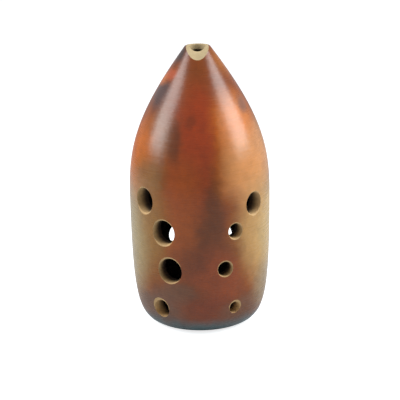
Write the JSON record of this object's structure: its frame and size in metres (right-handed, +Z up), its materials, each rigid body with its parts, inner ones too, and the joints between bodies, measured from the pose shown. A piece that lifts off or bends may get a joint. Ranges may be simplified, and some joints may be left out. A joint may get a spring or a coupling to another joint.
{
  "type": "xun",
  "caption": "Bullet-shaped pottery vessel flute: blow hole with a hollowed lip bevel at the tip, finger holes in front, thumb holes behind, flat foot.",
  "frame": {"origin": "centre of the resting face, on the body's axis", "axes": "+Z up the axis to the blow hole; -Y is the front, with the finger holes and the lip bevel; +Y is the back, with the thumb holes"},
  "size_m": [0.07, 0.07, 0.1392],
  "materials": {
    "burnished_barrel": "burnished and smoke fired",
    "burnished_crown": "burnished and smoke fired",
    "bare_clay": "matt, cut clay",
    "smoked_base": "smoke fired, satin",
    "raw_coil": "matt, raw"
  },
  "bodies": {
    "root": {"barrel_shell": "burnished_barrel", "crown_shell": "burnished_crown", "mouth_collar": "bare_clay", "base_disc": "smoked_base", "seam_coil": "raw_coil", "floor_coil": "raw_coil"}
  },
  "joints": []
}
